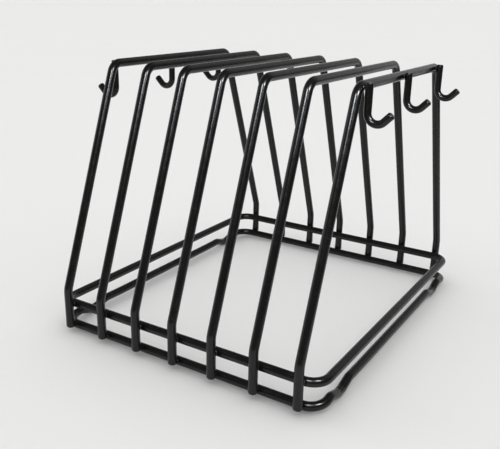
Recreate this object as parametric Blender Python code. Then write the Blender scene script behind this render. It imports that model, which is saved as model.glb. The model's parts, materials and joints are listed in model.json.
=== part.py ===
"""Free-standing board rack of welded, coated round wire, with hooks on both sides.

Seven bent arches stand side by side along X and leave six open slots between them.
Two loops tie the legs together just inside them. The lower loop dips to four feet, and
three J hooks hang on the outer side of each end arch's top bar.

Frame: +X across the slots, +Y from the front to the rear, +Z up, z = 0 on the floor,
and the origin under the middle of the rack. Units are metres.
"""
import math

import bpy
from mathutils import Vector

MM = 0.001

# Wire, over its coating.
WIRE_RADIUS = 3.78 * MM
HOOK_RADIUS = 3.05 * MM
WELD_GAP = 0.3 * MM
WIRE_BEVEL = 6
HOOK_BEVEL = 4

# Arches.
ARCH_COUNT = 7
ARCH_PITCH = 38.1 * MM
BASE_DEPTH = 314.4 * MM
TOP_DEPTH = 175.6 * MM
LEG_END_Z = 5.1 * MM
KINK_Z = 41.3 * MM
TOP_Z = 229.7 * MM
KINK_BEND = 16.0 * MM
TOP_BEND = 11.0 * MM

# Base loops.
LOOP_OVERHANG = 13.7 * MM
LOOP_CORNER = 14.0 * MM
UPPER_LOOP_Z = 25.6 * MM

# Feet: short dips in the lower loop's side runs.
FRONT_FOOT_Y = 115.0 * MM
REAR_FOOT_Y = 107.0 * MM
FOOT_FLAT = 7.0 * MM
FOOT_RAMP = 13.0 * MM
FOOT_BEND = 8.0 * MM
FOOT_DROP = 3.8 * MM
END_RUN_DROP = 2.4 * MM
SIDE_RUN_DROP = 0.4 * MM
SETTLE_RUN = 20.0 * MM

# Hooks.
HOOK_SPACING = 80.5 * MM
LEFT_HOOK_SHIFT = 2.0 * MM
RIGHT_HOOK_SHIFT = -4.5 * MM
LEFT_HOOK_DROP = 2.0 * MM
RIGHT_HOOK_DROP = 0.4 * MM
LEFT_HOOK_HEIGHT = 30.8 * MM
RIGHT_HOOK_HEIGHT = 28.8 * MM
HOOK_BEND = 7.5 * MM
HOOK_REACH = 18.4 * MM
HOOK_TIP_ANGLE = math.radians(45.0)

BEND_STEP = math.radians(11.5)
COATING_COLOUR = (0.022, 0.023, 0.026, 1.0)
COATING_ROUGHNESS = 0.34

RACK_NAME = "board_rack"


def facet_apothem(radius, bevel_resolution):
    """Distance from the wire's centre line to the middle of one of its facets."""
    sides = 4 + 2 * bevel_resolution
    return radius * math.cos(math.pi / sides)


LOOP_Y = BASE_DEPTH / 2 - 2 * WIRE_RADIUS - WELD_GAP
LOOP_X = (ARCH_COUNT - 1) / 2 * ARCH_PITCH + LOOP_OVERHANG
FOOT_Z = facet_apothem(WIRE_RADIUS, WIRE_BEVEL)
CREST_Z = FOOT_Z + FOOT_DROP


def clear_scene():
    for existing in list(bpy.data.objects):
        bpy.data.objects.remove(existing, do_unlink=True)


def coating_material(name):
    """Satin black coating, one material for each piece."""
    material = bpy.data.materials.new(name)
    material.use_nodes = True
    shader = material.node_tree.nodes["Principled BSDF"]
    shader.inputs["Base Color"].default_value = COATING_COLOUR
    shader.inputs["Roughness"].default_value = COATING_ROUGHNESS
    shader.inputs["Metallic"].default_value = 0.0
    material.diffuse_color = COATING_COLOUR
    return material


def rounded_corner(before, corner, after, bend):
    """Points of the arc that turns from one straight run into the next."""
    arriving = (corner - before).normalized()
    leaving = (after - corner).normalized()
    turn = arriving.angle(leaving)
    setback = bend * math.tan(turn / 2)
    inward = (leaving - arriving).normalized()
    centre = corner + inward * (bend / math.cos(turn / 2))
    start = corner - arriving * setback - centre
    steps = max(2, math.ceil(turn / BEND_STEP))
    axis = arriving.cross(leaving).normalized()
    points = []
    for step in range(steps + 1):
        angle = turn * step / steps
        swung = start * math.cos(angle) + axis.cross(start) * math.sin(angle)
        points.append(centre + swung)
    return points


def bent_path(corners, bends, closed):
    """Centre line through the corners, each rounded to its own bend radius."""
    count = len(corners)
    points = []
    for index, corner in enumerate(corners):
        if bends[index] == 0:
            points.append(corner)
            continue
        before = corners[(index - 1) % count]
        after = corners[(index + 1) % count]
        points.extend(rounded_corner(before, corner, after, bends[index]))
    if not closed:
        return points
    return [points[0].lerp(points[-1], 0.5)] + points


def wire(name, points, radius, bevel_resolution, closed, collection):
    """One round wire along the points, with a facet of its section square to Z."""
    sides = 4 + 2 * bevel_resolution
    curve = bpy.data.curves.new(name, "CURVE")
    curve.dimensions = "3D"
    curve.twist_mode = "Z_UP" if closed else "MINIMUM"
    curve.bevel_depth = radius
    curve.bevel_resolution = bevel_resolution
    curve.use_fill_caps = True
    spline = curve.splines.new("POLY")
    spline.points.add(len(points) - 1)
    for target, point in zip(spline.points, points):
        target.co = (point.x, point.y, point.z, 1.0)
        target.tilt = math.pi / sides
    spline.use_cyclic_u = closed
    spline.use_smooth = True
    piece = bpy.data.objects.new(name, curve)
    curve.materials.append(coating_material(name + "_coating"))
    collection.objects.link(piece)
    return piece


def arch_corners(x):
    """The arch's straight runs meet here: leg end, leg, top bar, leg, leg end."""
    base = BASE_DEPTH / 2
    top = TOP_DEPTH / 2
    return [
        Vector((x, -base, LEG_END_Z)),
        Vector((x, -base, KINK_Z)),
        Vector((x, -top, TOP_Z)),
        Vector((x, top, TOP_Z)),
        Vector((x, base, KINK_Z)),
        Vector((x, base, LEG_END_Z)),
    ]


def add_arches(collection):
    bends = [0, KINK_BEND, TOP_BEND, TOP_BEND, KINK_BEND, 0]
    for index in range(ARCH_COUNT):
        x = (index - (ARCH_COUNT - 1) / 2) * ARCH_PITCH
        points = bent_path(arch_corners(x), bends, False)
        wire("arch_wire_%d" % (index + 1), points, WIRE_RADIUS, WIRE_BEVEL, False, collection)


def add_upper_loop(collection):
    """Flat rounded rectangle, welded to the inner side of every leg."""
    corners = [
        Vector((LOOP_X, -LOOP_Y, UPPER_LOOP_Z)),
        Vector((LOOP_X, LOOP_Y, UPPER_LOOP_Z)),
        Vector((-LOOP_X, LOOP_Y, UPPER_LOOP_Z)),
        Vector((-LOOP_X, -LOOP_Y, UPPER_LOOP_Z)),
    ]
    points = bent_path(corners, [LOOP_CORNER] * 4, True)
    wire("upper_base_loop", points, WIRE_RADIUS, WIRE_BEVEL, True, collection)


def foot_corners(side, end, foot_y):
    """From the loop's corner inwards: rise, dip to the foot, rise, settle on the side run."""
    inner_ramp = foot_y - FOOT_FLAT / 2 - FOOT_RAMP
    heights = [
        (LOOP_Y, CREST_Z - END_RUN_DROP),
        (foot_y + FOOT_FLAT / 2 + FOOT_RAMP, CREST_Z),
        (foot_y + FOOT_FLAT / 2, FOOT_Z),
        (foot_y - FOOT_FLAT / 2, FOOT_Z),
        (inner_ramp, CREST_Z),
        (inner_ramp - SETTLE_RUN, CREST_Z - SIDE_RUN_DROP),
    ]
    return [Vector((side * LOOP_X, end * y, z)) for y, z in heights]


def side_run_corners(side):
    """One side run of the lower loop, from front to rear."""
    front = foot_corners(side, -1, FRONT_FOOT_Y)
    rear = foot_corners(side, 1, REAR_FOOT_Y)
    return front + rear[::-1]


def add_lower_loop(collection):
    """The rack stands on this loop's four feet."""
    corners = side_run_corners(1) + side_run_corners(-1)[::-1]
    dips = len(corners) // 2 - 2
    bends = ([LOOP_CORNER] + [FOOT_BEND] * dips + [LOOP_CORNER]) * 2
    points = bent_path(corners, bends, True)
    wire("lower_base_loop", points, WIRE_RADIUS, WIRE_BEVEL, True, collection)


def hook_corners(side, y, drop, height):
    """Leg beside the top bar, then the tip's rising line, from their crossing point."""
    arch_x = (ARCH_COUNT - 1) / 2 * ARCH_PITCH
    leg_x = arch_x + WIRE_RADIUS + HOOK_RADIUS + WELD_GAP
    turn = math.pi / 2 + HOOK_TIP_ANGLE
    top_z = TOP_Z + WIRE_RADIUS - drop
    crossing_z = top_z - height + HOOK_BEND - HOOK_BEND * math.tan(turn / 2)
    tip_z = crossing_z + HOOK_REACH * math.tan(HOOK_TIP_ANGLE)
    return [
        Vector((side * leg_x, y, top_z)),
        Vector((side * leg_x, y, crossing_z)),
        Vector((side * (leg_x + HOOK_REACH), y, tip_z)),
    ]


def add_hooks(collection):
    sides = (
        (-1, "left", LEFT_HOOK_SHIFT, LEFT_HOOK_DROP, LEFT_HOOK_HEIGHT),
        (1, "right", RIGHT_HOOK_SHIFT, RIGHT_HOOK_DROP, RIGHT_HOOK_HEIGHT),
    )
    for side, side_name, shift, drop, height in sides:
        for row, row_name in ((-1, "front"), (0, "middle"), (1, "rear")):
            corners = hook_corners(side, shift + row * HOOK_SPACING, drop, height)
            points = bent_path(corners, [0, HOOK_BEND, 0], False)
            name = "hook_%s_%s" % (side_name, row_name)
            wire(name, points, HOOK_RADIUS, HOOK_BEVEL, False, collection)


def main():
    clear_scene()
    collection = bpy.data.collections.new(RACK_NAME)
    bpy.context.scene.collection.children.link(collection)
    add_arches(collection)
    add_upper_loop(collection)
    add_lower_loop(collection)
    add_hooks(collection)


main()
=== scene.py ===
"""Looks of the board rack: smooth coated wires with rounded ends and weld nuggets.

A fine round tube along the same centre line stands for each CAD wire. Places come from the
CAD boxes, and bends from the dimensions below. Units are metres: +X runs across the slots,
+Y from front to rear and +Z up, with the floor at z = 0.
"""

import json
import math

import bpy
import numpy as np
from mathutils import Matrix, Vector
from mathutils.bvhtree import BVHTree

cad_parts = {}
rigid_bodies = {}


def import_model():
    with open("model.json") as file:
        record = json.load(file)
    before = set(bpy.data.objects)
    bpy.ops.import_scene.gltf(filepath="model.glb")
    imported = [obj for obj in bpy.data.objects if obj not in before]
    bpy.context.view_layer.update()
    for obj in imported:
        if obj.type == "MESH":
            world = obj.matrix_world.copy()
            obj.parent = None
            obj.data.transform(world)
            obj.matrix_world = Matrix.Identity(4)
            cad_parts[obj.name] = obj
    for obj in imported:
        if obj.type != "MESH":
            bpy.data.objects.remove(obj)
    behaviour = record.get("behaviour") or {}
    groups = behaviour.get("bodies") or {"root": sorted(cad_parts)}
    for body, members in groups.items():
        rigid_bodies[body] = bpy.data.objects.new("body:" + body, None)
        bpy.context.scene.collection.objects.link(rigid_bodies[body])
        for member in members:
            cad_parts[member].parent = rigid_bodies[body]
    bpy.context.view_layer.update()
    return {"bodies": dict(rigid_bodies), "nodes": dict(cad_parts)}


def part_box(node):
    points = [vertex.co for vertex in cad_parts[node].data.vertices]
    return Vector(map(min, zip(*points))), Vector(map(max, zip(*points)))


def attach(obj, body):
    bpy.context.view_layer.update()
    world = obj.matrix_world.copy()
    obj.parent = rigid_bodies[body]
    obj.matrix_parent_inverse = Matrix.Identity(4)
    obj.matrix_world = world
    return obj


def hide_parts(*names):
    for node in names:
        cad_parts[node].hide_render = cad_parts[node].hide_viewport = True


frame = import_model()

MM = 0.001
BODY = next(iter(frame["bodies"]))

ARCHES = sorted(node for node in frame["nodes"] if node.startswith("arch_wire_"))
HOOKS = ["hook_%s_%s" % (side, row) for side in ("left", "right") for row in ("front", "middle", "rear")]

# Half of each CAD wire's flat-to-flat width, and the round wire that fits inside it.
INSET = 0.01 * MM
WIRE_FLAT = (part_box("arch_wire_1")[1].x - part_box("arch_wire_1")[0].x) / 2
WIRE_RADIUS = WIRE_FLAT - INSET
HOOK_FLAT = (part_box("hook_right_front")[1].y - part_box("hook_right_front")[0].y) / 2
HOOK_RADIUS = HOOK_FLAT - INSET

# Bends that the CAD boxes don't give.
TOP_DEPTH = 175.6 * MM
KINK_Z = 41.3 * MM
KINK_BEND = 16.0 * MM
TOP_BEND = 11.0 * MM
LOOP_CORNER = 14.0 * MM
FRONT_FOOT_Y = 115.0 * MM
REAR_FOOT_Y = 107.0 * MM
FOOT_FLAT = 7.0 * MM
FOOT_RAMP = 13.0 * MM
FOOT_BEND = 8.0 * MM
FOOT_DROP = 3.8 * MM
END_RUN_DROP = 2.4 * MM
SIDE_RUN_DROP = 0.4 * MM
SETTLE_RUN = 20.0 * MM
HOOK_BEND = 7.5 * MM
HOOK_TIP_ANGLE = math.radians(45.0)

# Mesh fineness.
SECTION_SIDES = 28
BEND_STEP = math.radians(5.0)
LEAST_BEND_STEPS = 3
RUN_STEP = 6.0 * MM
END_RINGS = 7

# Rounded wire ends, and the coating gathered just above each leg end.
LEG_END_ROUND = 2.3 * MM
HOOK_END_ROUND = 1.2 * MM
BEAD_SWELL = 0.32 * MM
BEAD_LENGTH = 3.2 * MM
BEAD_UP = 2.4 * MM
BEAD_END = 12.0 * MM

# Weld nuggets: how far they reach along the wires, how they leave and sink into them, and how
# far to each side of the contact the wires' surfaces are looked for, as a share of the reach.
LOOP_WELD_REACH = 2.95 * MM
HOOK_WELD_REACH = 2.3 * MM
HOOK_WELD_DOWN = 2.6 * MM
WELD_PULL = 2.6 * MM
WELD_SINK = 0.05 * MM
WELD_DOME = 0.4 * MM
WELD_SEEK_SHARE = 0.35
WELD_STEPS = 6
WELD_SIDES = 28

# Coating.
COAT_DARK = (0.0046, 0.0047, 0.0052, 1)
COAT_LIGHT = (0.0086, 0.0083, 0.0086, 1)
COAT_IOR = 1.40

# Studio. Azimuth 0 is in front of the rack and 90 to its right, in degrees.
FLOOR_DARK = (0.83, 0.83, 0.83, 1)
FLOOR_LIGHT = (0.85, 0.85, 0.845, 1)
FLOOR_FAR = 80.0
FLOOR_RIGHT = 0.50
FLOOR_FRONT = -0.90
BACKDROP_COLOUR = (0.841, 0.839, 0.833, 1)
ROOM_COLOUR = (0.120, 0.117, 0.114, 1)
REAR_GLOW_COLOUR = (0.32, 0.315, 0.31, 1)
LEFT_GLOW_COLOUR = (0.42, 0.42, 0.43, 1)
WALL_COLOUR = (0.62, 0.62, 0.63, 1)
LAMP_COLOUR = (0.94, 0.97, 1.0)
LAMP_AIM = Vector((0.0, -0.1, 0.15))

# Camera: where it stands, and the angles that it looks back from, in radians.
CAMERA_PLACE = (0.302343, -0.533649, 0.290581)
CAMERA_AZIMUTH = 0.551686
CAMERA_ELEVATION = 0.331154
CAMERA_ROLL = 0.021729
CAMERA_LENS = 48.68
SENSOR_WIDTH = 36.0
CLIP_NEAR = 0.02
CLIP_FAR = 60.0


def rounded_corner(before, corner, after, bend):
    """Points of the arc that turns from one straight run into the next."""
    arriving = (corner - before).normalized()
    leaving = (after - corner).normalized()
    turn = arriving.angle(leaving)
    setback = bend * math.tan(turn / 2)
    inward = (leaving - arriving).normalized()
    centre = corner + inward * (bend / math.cos(turn / 2))
    start = corner - arriving * setback - centre
    steps = max(LEAST_BEND_STEPS, math.ceil(turn / BEND_STEP))
    axis = arriving.cross(leaving).normalized()
    return [centre + Matrix.Rotation(turn * i / steps, 3, axis) @ start for i in range(steps + 1)]


def centre_line(corners, bends, closed=False):
    """Corners rounded to their bends, with extra points along the straight runs."""
    count = len(corners)
    line = []
    for i, corner in enumerate(corners):
        if bends[i] == 0:
            line.append(corner)
        else:
            line += rounded_corner(corners[i - 1], corner, corners[(i + 1) % count], bends[i])
    pairs = list(zip(line, line[1:]))
    if closed:
        pairs.append((line[-1], line[0]))
    fine = []
    for a, b in pairs:
        parts = max(1, round((b - a).length / RUN_STEP))
        fine += [a.lerp(b, k / parts) for k in range(parts)]
    return fine if closed else fine + [line[-1]]


def directions(points, closed):
    """Unit vector along the line at each of its points."""
    if closed:
        ahead = np.roll(points, -1, axis=0) - np.roll(points, 1, axis=0)
    else:
        ahead = np.gradient(points, axis=0)
    return ahead / np.linalg.norm(ahead, axis=1)[:, None]


def first_side(ahead):
    """A level unit vector square to the line's start, or one along Y where it starts upright."""
    nearly_upright = 0.1
    side = np.cross(ahead, [0.0, 0.0, 1.0])
    if np.linalg.norm(side) < nearly_upright:
        side = np.cross(ahead, [1.0, 0.0, 0.0])
    return side / np.linalg.norm(side)


def section_axes(points, closed):
    """Section axes carried along the line with no twist, closing up evenly on a loop."""
    ahead = directions(points, closed)
    side = first_side(ahead[0])
    sides = [side]
    for along in ahead[1:]:
        side = side - along * (side @ along)
        side /= np.linalg.norm(side)
        sides.append(side)
    sides = np.array(sides)
    ups = np.cross(ahead, sides)
    if closed:
        last = sides[-1] - ahead[0] * (sides[-1] @ ahead[0])
        slip = math.atan2(last @ ups[0], last @ sides[0])
        turn = -slip * np.arange(len(points)) / len(points)
        cosine, sine = np.cos(turn)[:, None], np.sin(turn)[:, None]
        sides, ups = sides * cosine + ups * sine, ups * cosine - sides * sine
    return sides, ups


def round_ends(points, radius, rounding):
    """Replaces both ends of an open line by closely spaced rings that round them off."""
    points = list(points)
    radii = [radius] * len(points)
    for end in (0, -1):
        tip = points[end]
        inward = (points[1 if end == 0 else -2] - tip).normalized()
        rings, ring_radii = [], []
        for k in range(END_RINGS + 1):
            angle = math.pi / 2 * k / END_RINGS
            rings.append(tip + inward * rounding * (1 - math.cos(angle)))
            ring_radii.append(radius - rounding * (1 - math.sin(angle)))
        if end == 0:
            points = rings + points[1:]
            radii = ring_radii + radii[1:]
        else:
            points = points[:-1] + rings[::-1]
            radii = radii[:-1] + ring_radii[::-1]
    return points, radii


def end_bead(points, radii):
    """Swollen radii near the leg ends, and the shift that puts the swelling on their inner side."""
    at = np.array([tuple(p) for p in points])
    radii = np.array(radii)
    height = at[:, 2] - at[:, 2].min()
    swell = BEAD_SWELL * np.exp(-(((height - BEAD_UP) / BEAD_LENGTH) ** 2))
    swell[height > BEAD_END] = 0
    shift = np.zeros_like(at)
    shift[:, 1] = -np.sign(at[:, 1]) * swell
    return radii + swell * radii / radii.max(), shift


def tube(points, radii, closed, shift=0.0):
    """Vertices and faces of a round tube, with flat discs at open ends."""
    at = np.array([tuple(p) for p in points])
    sides, ups = section_axes(at, closed)
    at = at + shift
    theta = np.arange(SECTION_SIDES) * 2 * math.pi / SECTION_SIDES
    ring = np.cos(theta)[None, :, None] * sides[:, None] + np.sin(theta)[None, :, None] * ups[:, None]
    vertices = (at[:, None] + ring * np.array(radii)[:, None, None]).reshape(-1, 3)
    rows = len(at)
    faces = band_faces(rows if closed else rows - 1, rows, SECTION_SIDES)
    if not closed:
        faces.append(tuple(range(SECTION_SIDES))[::-1])
        faces.append(tuple(range((rows - 1) * SECTION_SIDES, rows * SECTION_SIDES)))
    return outward(vertices, faces)


def band_faces(bands, rows, sides):
    """Four-sided faces of the bands between rings of vertices; the last ring may meet the first."""
    faces = []
    for i in range(bands):
        a, b = i * sides, (i + 1) % rows * sides
        for k in range(sides):
            n = (k + 1) % sides
            faces.append((a + k, a + n, b + n, b + k))
    return faces


def outward(vertices, faces):
    """The closed shape, its faces turned to wind outwards if its signed volume is negative."""
    volume = 0.0
    for face in faces:
        a = vertices[face[0]]
        for k in range(1, len(face) - 1):
            volume += a @ np.cross(vertices[face[k]], vertices[face[k + 1]])
    if volume < 0:
        faces = [face[::-1] for face in faces]
    return vertices, faces


def surface_of(shape):
    """Search tree that finds the nearest place on the shape."""
    return BVHTree.FromPolygons([Vector(v) for v in shape[0]], shape[1])


def hermite(start, start_slope, end, end_slope, t):
    """Place at t on the curve that leaves start and reaches end with the given slopes."""
    return (
        start * (2 * t**3 - 3 * t**2 + 1)
        + start_slope * (t**3 - 2 * t**2 + t)
        + end * (3 * t**2 - 2 * t**3)
        + end_slope * (t**3 - t**2)
    )


def weld_nugget(point, toward_b, surface_a, surface_b, reach):
    """A closed waisted collar between two wires that nearly touch at the point."""
    normal = Vector(toward_b).normalized()
    across = normal.orthogonal().normalized()
    other = normal.cross(across)
    rings = [[] for _ in range(WELD_STEPS + 1)]
    for k in range(WELD_SIDES):
        angle = 2 * math.pi * k / WELD_SIDES
        out = across * math.cos(angle) + other * math.sin(angle)
        place = Vector(point) + out * reach
        low, low_normal = surface_a.find_nearest(place - normal * reach * WELD_SEEK_SHARE)[:2]
        high, high_normal = surface_b.find_nearest(place + normal * reach * WELD_SEEK_SHARE)[:2]
        low_slope = -(out - low_normal * out.dot(low_normal)).normalized() * WELD_PULL
        high_slope = (out - high_normal * out.dot(high_normal)).normalized() * WELD_PULL
        low = low - low_normal * WELD_SINK
        high = high - high_normal * WELD_SINK
        for step, ring in enumerate(rings):
            ring.append(hermite(low, low_slope, high, high_slope, step / WELD_STEPS))
    vertices = [tuple(v) for ring in rings for v in ring]
    faces = band_faces(WELD_STEPS, WELD_STEPS + 1, WELD_SIDES)
    bottom, top = len(vertices), len(vertices) + 1
    last = WELD_STEPS * WELD_SIDES
    middle_low = sum(rings[0], Vector()) / WELD_SIDES
    middle_high = sum(rings[-1], Vector()) / WELD_SIDES
    vertices += [tuple(middle_low - normal * WELD_DOME), tuple(middle_high + normal * WELD_DOME)]
    for k in range(WELD_SIDES):
        n = (k + 1) % WELD_SIDES
        faces.append((bottom, n, k))
        faces.append((top, last + k, last + n))
    return outward(np.array(vertices), faces)


def joined(shapes):
    """Vertices and faces of several shapes as one."""
    vertices, faces, start = [], [], 0
    for shape_vertices, shape_faces in shapes:
        vertices.append(shape_vertices)
        faces += [tuple(i + start for i in face) for face in shape_faces]
        start += len(shape_vertices)
    return np.concatenate(vertices), faces


def add_piece(node, shapes, material):
    """One visible piece that stands for the CAD node."""
    name = node + "_coated"
    vertices, faces = joined(shapes)
    mesh = bpy.data.meshes.new(name)
    mesh.from_pydata([tuple(v) for v in vertices], [], faces)
    mesh.materials.append(material)
    mesh.shade_smooth()
    mesh.update()
    piece = bpy.data.objects.new(name, mesh)
    bpy.context.scene.collection.objects.link(piece)
    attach(piece, BODY)
    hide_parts(node)


def arch_line(node):
    """Leg end, leaning leg, top bar, leg, leg end."""
    low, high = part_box(node)
    x = (low.x + high.x) / 2
    base = high.y - WIRE_FLAT
    top = high.z - WIRE_FLAT
    corners = [
        Vector((x, -base, low.z)),
        Vector((x, -base, KINK_Z)),
        Vector((x, -TOP_DEPTH / 2, top)),
        Vector((x, TOP_DEPTH / 2, top)),
        Vector((x, base, KINK_Z)),
        Vector((x, base, low.z)),
    ]
    return centre_line(corners, [0, KINK_BEND, TOP_BEND, TOP_BEND, KINK_BEND, 0])


def upper_loop_line():
    """Flat rounded rectangle."""
    low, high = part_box("upper_base_loop")
    x, y, z = high.x - WIRE_FLAT, high.y - WIRE_FLAT, (low.z + high.z) / 2
    corners = [Vector(c) for c in ((x, -y, z), (x, y, z), (-x, y, z), (-x, -y, z))]
    return centre_line(corners, [LOOP_CORNER] * 4, True)


def foot_corners(x, y_end, end, foot_y):
    """From the loop's corner inwards: rise, dip to the foot, rise, settle on the side run."""
    foot_z = WIRE_FLAT
    crest_z = foot_z + FOOT_DROP
    inner_ramp = foot_y - FOOT_FLAT / 2 - FOOT_RAMP
    heights = [
        (y_end, crest_z - END_RUN_DROP),
        (foot_y + FOOT_FLAT / 2 + FOOT_RAMP, crest_z),
        (foot_y + FOOT_FLAT / 2, foot_z),
        (foot_y - FOOT_FLAT / 2, foot_z),
        (inner_ramp, crest_z),
        (inner_ramp - SETTLE_RUN, crest_z - SIDE_RUN_DROP),
    ]
    return [Vector((x, end * y, z)) for y, z in heights]


def lower_loop_line():
    """Rounded rectangle whose side runs dip to the four feet."""
    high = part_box("lower_base_loop")[1]
    x, y = high.x - WIRE_FLAT, high.y - WIRE_FLAT
    runs = []
    for side in (1, -1):
        front = foot_corners(side * x, y, -1, FRONT_FOOT_Y)
        rear = foot_corners(side * x, y, 1, REAR_FOOT_Y)
        runs.append(front + rear[::-1])
    dips = len(runs[0]) - 2
    bends = ([LOOP_CORNER] + [FOOT_BEND] * dips + [LOOP_CORNER]) * 2
    return centre_line(runs[0] + runs[1][::-1], bends, True)


def hook_line(node):
    """Leg beside the top bar, round bend, rising tip."""
    low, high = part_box(node)
    side = 1 if low.x > 0 else -1
    near = low.x if side > 0 else high.x
    leg_x = near + side * HOOK_FLAT
    reach = (high.x - low.x) - HOOK_FLAT - HOOK_FLAT * math.sin(HOOK_TIP_ANGLE)
    y = (low.y + high.y) / 2
    bottom = low.z + HOOK_FLAT
    turn = math.pi / 2 + HOOK_TIP_ANGLE
    crossing = bottom + HOOK_BEND - HOOK_BEND * math.tan(turn / 2)
    corners = [
        Vector((leg_x, y, high.z)),
        Vector((leg_x, y, crossing)),
        Vector((leg_x + side * reach, y, crossing + reach * math.tan(HOOK_TIP_ANGLE))),
    ]
    return centre_line(corners, [0, HOOK_BEND, 0])


def loop_shape(line):
    """Closed tube of one base loop."""
    return tube(line, [WIRE_RADIUS] * len(line), True)


def arch_shape(node):
    """Arch wire with rounded leg ends and the coating gathered above them."""
    points, radii = round_ends(arch_line(node), WIRE_RADIUS, LEG_END_ROUND)
    radii, shift = end_bead(points, radii)
    return tube(points, radii, False, shift)


def hook_shape(node):
    """Hook wire with rounded ends."""
    points, radii = round_ends(hook_line(node), HOOK_RADIUS, HOOK_END_ROUND)
    return tube(points, radii, False)


def leg_welds(node, arch, loops):
    """Nuggets where the arch's two legs cross the loops, given as (height, shape)."""
    low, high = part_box(node)
    x = (low.x + high.x) / 2
    leg_y = high.y - WIRE_FLAT
    loop_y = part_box("upper_base_loop")[1].y - WIRE_FLAT
    arch_surface = surface_of(arch)
    welds = []
    for end in (-1, 1):
        contact_y = end * (leg_y + loop_y) / 2
        for z, loop in loops:
            contact = (x, contact_y, z)
            welds.append(weld_nugget(contact, (0, -end, 0), arch_surface, surface_of(loop), LOOP_WELD_REACH))
    return welds


def hook_weld(node, hook, arches):
    """Nugget between the hook's leg and the top bar of the end arch beside it."""
    low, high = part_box(node)
    side = 1 if low.x > 0 else -1
    bar = ARCHES[-1] if side > 0 else ARCHES[0]
    bar_low, bar_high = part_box(bar)
    bar_side = bar_high.x if side > 0 else bar_low.x
    near = low.x if side > 0 else high.x
    z = min(bar_high.z - WIRE_FLAT, high.z - HOOK_WELD_DOWN)
    contact = ((bar_side + near) / 2, (low.y + high.y) / 2, z)
    return weld_nugget(contact, (side, 0, 0), surface_of(arches[bar]), surface_of(hook), HOOK_WELD_REACH)


def build_rack():
    """One piece for each CAD node, with each nugget joined to the arch or hook that it welds."""
    material = coated_wire_material()
    upper_low, upper_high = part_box("upper_base_loop")
    upper_z = (upper_low.z + upper_high.z) / 2
    lower_z = WIRE_FLAT + FOOT_DROP - END_RUN_DROP
    upper = loop_shape(upper_loop_line())
    lower = loop_shape(lower_loop_line())
    arches = {node: arch_shape(node) for node in ARCHES}
    for node, arch in arches.items():
        welds = leg_welds(node, arch, ((upper_z, upper), (lower_z, lower)))
        add_piece(node, [arch] + welds, material)
    add_piece("upper_base_loop", [upper], material)
    add_piece("lower_base_loop", [lower], material)
    for node in HOOKS:
        hook = hook_shape(node)
        add_piece(node, [hook, hook_weld(node, hook, arches)], material)


def noise_texture(nodes, links, place, scale, detail):
    """Noise in the object's own coordinates, so that it keeps its place in every view."""
    noise = nodes.new("ShaderNodeTexNoise")
    noise.inputs["Scale"].default_value = scale
    noise.inputs["Detail"].default_value = detail
    noise.inputs["Roughness"].default_value = 0.55
    links.new(place.outputs["Object"], noise.inputs["Vector"])
    return noise.outputs["Fac"]


def value_range(nodes, links, source, taken, given):
    """Map Range node from the source's range taken to the range given."""
    span = nodes.new("ShaderNodeMapRange")
    span.inputs["From Min"].default_value, span.inputs["From Max"].default_value = taken
    span.inputs["To Min"].default_value, span.inputs["To Max"].default_value = given
    links.new(source, span.inputs["Value"])
    return span


def colour_ramp(nodes, links, source, stops):
    """Colour ramp through two stops, each a place and a colour."""
    ramp = nodes.new("ShaderNodeValToRGB")
    for element, (position, colour) in zip(ramp.color_ramp.elements, stops):
        element.position = position
        element.color = colour
    links.new(source, ramp.inputs["Fac"])
    return ramp.outputs["Color"]


def bump(nodes, links, height, strength, distance):
    """Bump node that reads its relief from the height."""
    relief = nodes.new("ShaderNodeBump")
    relief.inputs["Strength"].default_value = strength
    relief.inputs["Distance"].default_value = distance
    links.new(height, relief.inputs["Height"])
    return relief


def new_material(name):
    """An empty Principled material: its nodes, links, shader and texture coordinates."""
    material = bpy.data.materials.new(name)
    material.use_nodes = True
    nodes, links = material.node_tree.nodes, material.node_tree.links
    return material, nodes, links, nodes["Principled BSDF"], nodes.new("ShaderNodeTexCoord")


def coated_wire_material():
    """Glossy black coating: slightly cloudy colour, uneven gloss and a soft orange peel."""
    material, nodes, links, shader, place = new_material("coated_wire")
    cloud = noise_texture(nodes, links, place, scale=38.0, detail=3.0)
    colour = colour_ramp(nodes, links, cloud, [(0.32, COAT_DARK), (0.70, COAT_LIGHT)])
    links.new(colour, shader.inputs["Base Color"])

    rub = noise_texture(nodes, links, place, scale=190.0, detail=4.0)
    rough = value_range(nodes, links, rub, taken=(0.3, 0.7), given=(0.19, 0.29))
    links.new(rough.outputs["Result"], shader.inputs["Roughness"])

    grain = noise_texture(nodes, links, place, scale=420.0, detail=2.0)
    fine_bump = bump(nodes, links, grain, strength=0.22, distance=0.1 * MM)
    peel = noise_texture(nodes, links, place, scale=95.0, detail=1.0)
    soft_bump = bump(nodes, links, peel, strength=0.28, distance=0.3 * MM)
    links.new(fine_bump.outputs["Normal"], soft_bump.inputs["Normal"])
    links.new(soft_bump.outputs["Normal"], shader.inputs["Normal"])

    shader.inputs["IOR"].default_value = COAT_IOR
    return material


def floor_material():
    """Pale matt floor with hardly any change of tone."""
    material, nodes, links, shader, place = new_material("pale_floor")
    noise = noise_texture(nodes, links, place, scale=3.0, detail=2.0)
    tone = colour_ramp(nodes, links, noise, [(0.0, FLOOR_DARK), (1.0, FLOOR_LIGHT)])
    links.new(tone, shader.inputs["Base Color"])
    shader.inputs["Roughness"].default_value = 0.8
    shader.inputs["Specular IOR Level"].default_value = 0.2
    return material


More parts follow.
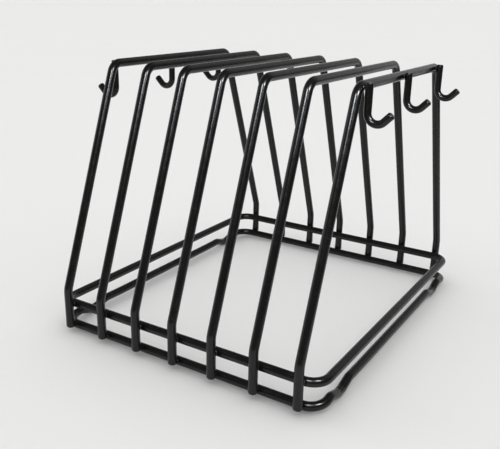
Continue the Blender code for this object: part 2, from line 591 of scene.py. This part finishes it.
def build_floor():
    """One face that ends near the rack on its right and in front, so that the coating reflects
    the dim room there.
    """
    mesh = bpy.data.meshes.new("studio_floor")
    corners = [
        (-FLOOR_FAR, FLOOR_FRONT, 0),
        (FLOOR_RIGHT, FLOOR_FRONT, 0),
        (FLOOR_RIGHT, FLOOR_FAR, 0),
        (-FLOOR_FAR, FLOOR_FAR, 0),
    ]
    mesh.from_pydata(corners, [], [(0, 1, 2, 3)])
    mesh.materials.append(floor_material())
    floor = bpy.data.objects.new("studio_floor", mesh)
    bpy.context.scene.collection.objects.link(floor)


def away(azimuth, elevation):
    """Unit vector from the rack towards an azimuth and elevation in radians."""
    level = math.cos(elevation)
    return Vector((math.sin(azimuth) * level, -math.cos(azimuth) * level, math.sin(elevation)))


def direction(azimuth, elevation):
    """The same, from degrees."""
    return away(math.radians(azimuth), math.radians(elevation))


def add_lamp(name, light):
    """The lamp that shines the light, for its builder to place and turn."""
    lamp = bpy.data.objects.new(name, light)
    lamp.rotation_mode = "QUATERNION"
    bpy.context.scene.collection.objects.link(lamp)
    return lamp


def overhead_softbox(spread, strength):
    """A wide soft light far above, which lights the whole floor alike and shows in no reflection."""
    light = bpy.data.lights.new("overhead_softbox", "SUN")
    light.angle = math.radians(spread)
    light.energy = strength
    add_lamp("overhead_softbox", light).visible_glossy = False


def near_softbox(name, place, size, power):
    """A small round light near the camera, seen only as a highlight on the coating."""
    light = bpy.data.lights.new(name, "AREA")
    light.shape = "DISK"
    light.size = size
    light.energy = power
    light.color = LAMP_COLOUR
    lamp = add_lamp(name, light)
    lamp.visible_camera = False
    lamp.visible_diffuse = False
    lamp.location = place
    lamp.rotation_quaternion = (Vector(place) - LAMP_AIM).to_track_quat("Z", "Y")


def patch(nodes, links, place, aim, start, full):
    """1 where the sky direction's part along aim is above full, 0 below start."""
    part = nodes.new("ShaderNodeVectorMath")
    part.operation = "DOT_PRODUCT"
    part.inputs[1].default_value = aim
    links.new(place.outputs["Generated"], part.inputs[0])
    level = value_range(nodes, links, part.outputs["Value"], taken=(start, full), given=(0.0, 1.0))
    level.interpolation_type = "SMOOTHSTEP"
    return level.outputs["Result"]


def product(nodes, links, first, second):
    """Math node that multiplies two values."""
    times = nodes.new("ShaderNodeMath")
    times.operation = "MULTIPLY"
    links.new(first, times.inputs[0])
    links.new(second, times.inputs[1])
    return times.outputs["Value"]


def colour_mix(nodes, links, amount, below, colour, blend):
    """Mix node that puts the amount of a colour over below, which is a socket or a colour."""
    mix = nodes.new("ShaderNodeMix")
    mix.data_type = "RGBA"
    mix.blend_type = blend
    links.new(amount, mix.inputs["Factor"])
    if isinstance(below, tuple):
        mix.inputs["A"].default_value = below
    else:
        links.new(below, mix.inputs["A"])
    mix.inputs["B"].default_value = colour
    return mix.outputs["Result"]


def studio_world():
    """Dim room with a low pale wall behind the rack and to its left, and a faint glow on each side.

    The camera sees a plain backdrop in the floor's tone instead of the room.
    """
    world = bpy.data.worlds.new("studio")
    bpy.context.scene.world = world
    world.use_nodes = True
    nodes, links = world.node_tree.nodes, world.node_tree.links
    place = nodes.new("ShaderNodeTexCoord")
    rear_glow = patch(nodes, links, place, direction(168, 38), start=0.83, full=0.98)
    left_glow = patch(nodes, links, place, direction(-70, 17), start=0.85, full=0.985)
    wall_side = patch(nodes, links, place, direction(-130, 0), start=-0.10, full=0.55)
    wall_low = patch(nodes, links, place, (0.0, 0.0, -1.0), start=-0.42, full=-0.22)
    wall = product(nodes, links, wall_side, wall_low)
    light = colour_mix(nodes, links, rear_glow, ROOM_COLOUR, REAR_GLOW_COLOUR, "ADD")
    light = colour_mix(nodes, links, left_glow, light, LEFT_GLOW_COLOUR, "ADD")
    light = colour_mix(nodes, links, wall, light, WALL_COLOUR, "ADD")
    to_camera = nodes.new("ShaderNodeLightPath").outputs["Is Camera Ray"]
    seen = colour_mix(nodes, links, to_camera, light, BACKDROP_COLOUR, "MIX")
    background = nodes["Background"]
    links.new(seen, background.inputs["Color"])
    background.inputs["Strength"].default_value = 1.0


def build_camera():
    """Camera at its place, aimed by its azimuth and elevation and then rolled about its own axis."""
    camera = bpy.data.cameras.new("camera")
    camera.sensor_width = SENSOR_WIDTH
    camera.lens = CAMERA_LENS
    camera.clip_start = CLIP_NEAR
    camera.clip_end = CLIP_FAR
    back = away(CAMERA_AZIMUTH, CAMERA_ELEVATION)
    level_right = Vector((math.cos(CAMERA_AZIMUTH), math.sin(CAMERA_AZIMUTH), 0))
    level_up = back.cross(level_right)
    right = level_right * math.cos(CAMERA_ROLL) + level_up * math.sin(CAMERA_ROLL)
    up = level_up * math.cos(CAMERA_ROLL) - level_right * math.sin(CAMERA_ROLL)
    turn = Matrix((right, up, back)).transposed().to_4x4()
    viewer = bpy.data.objects.new("camera", camera)
    viewer.matrix_world = Matrix.Translation(CAMERA_PLACE) @ turn
    bpy.context.scene.collection.objects.link(viewer)
    bpy.context.scene.camera = viewer


def build_studio():
    build_floor()
    studio_world()
    overhead_softbox(spread=150, strength=2.58)
    near_softbox("left_softbox", (0.158, -0.415, 0.452), size=0.12, power=2.0)
    near_softbox("right_softbox", (0.372, -0.223, 0.460), size=0.13, power=2.7)
    bpy.context.scene.view_settings.view_transform = "Standard"


build_rack()
build_studio()
build_camera()
